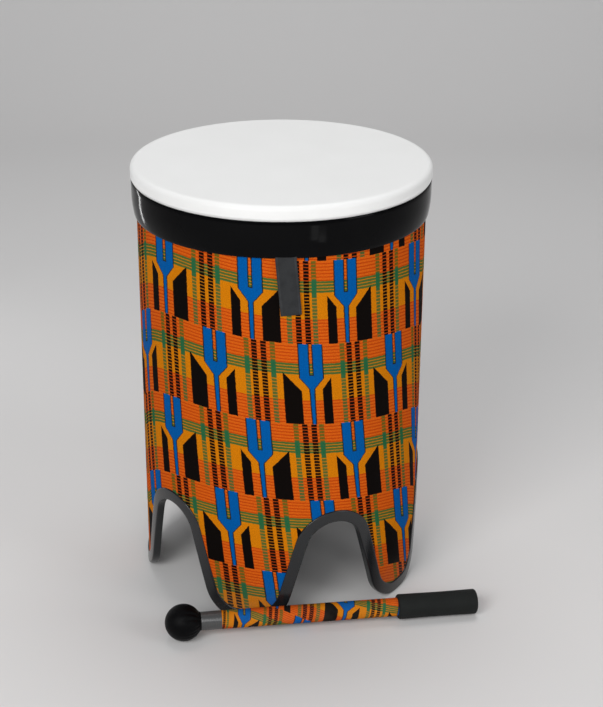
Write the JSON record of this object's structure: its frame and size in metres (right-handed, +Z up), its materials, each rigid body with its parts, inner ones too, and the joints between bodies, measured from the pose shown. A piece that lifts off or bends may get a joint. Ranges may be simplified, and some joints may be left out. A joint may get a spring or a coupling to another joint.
{
  "type": "hand drum with beater",
  "caption": "Straight hand drum on scalloped legs, cloth-covered shell, white head in a black rim band, carrying loop at the front, with a soft beater on the floor.",
  "frame": {"origin": "on the drum's axis, at floor level under the feet", "axes": "+Z up along the drum's axis to the head, -Y to the front where the carrying loop and the beater are, +X to the right seen from the front"},
  "size_m": [0.3582, 0.3486, 0.4554],
  "materials": {
    "shell": "dull black moulded tube",
    "printed_cloth": "printed cotton, kente-style pattern in orange, amber, green, blue and black",
    "edge_trim": "satin black extruded channel",
    "drumhead": "fine matt white film with a slight sheen",
    "moulded_ring": "matt grey moulding",
    "steel": "plain zinc-plated",
    "rim_band": "glossy black",
    "webbing": "charcoal woven webbing",
    "wood": "plain turned dowel",
    "ball_rubber": "solid rubber",
    "black_cloth": "black fleece cloth, gathered",
    "tape": "satin black tape",
    "grip_foam": "fine black foam"
  },
  "bodies": {
    "drum": {"shell": "shell", "fabric_wrap": "printed_cloth", "leg_edge_trim": "edge_trim", "bearing_ring": "moulded_ring", "head_film": "drumhead", "head_hoop": "steel", "rim_band": "rim_band", "strap_ends": "webbing", "strap_rivet": "steel", "strap_washer": "steel"},
    "loop": {"strap_loop": "webbing"},
    "beater": {"mallet_rod": "wood", "mallet_core": "ball_rubber", "mallet_cover": "black_cloth", "mallet_collar": "tape", "mallet_sleeve": "printed_cloth", "mallet_grip": "grip_foam"}
  },
  "joints": [
    {"name": "loop_swing", "type": "hinge", "parent": "drum", "child": "loop", "pos_m": [0.00442, -0.14888, 0.4019], "axis": [-0.9996, -0.0297, 0], "range_deg": [0, 85]},
    {"name": "beater_lift", "type": "slide", "parent": "drum", "child": "beater", "axis": [0.0808, -0.4934, 0.866], "range_m": [0, 0.45]}
  ]
}
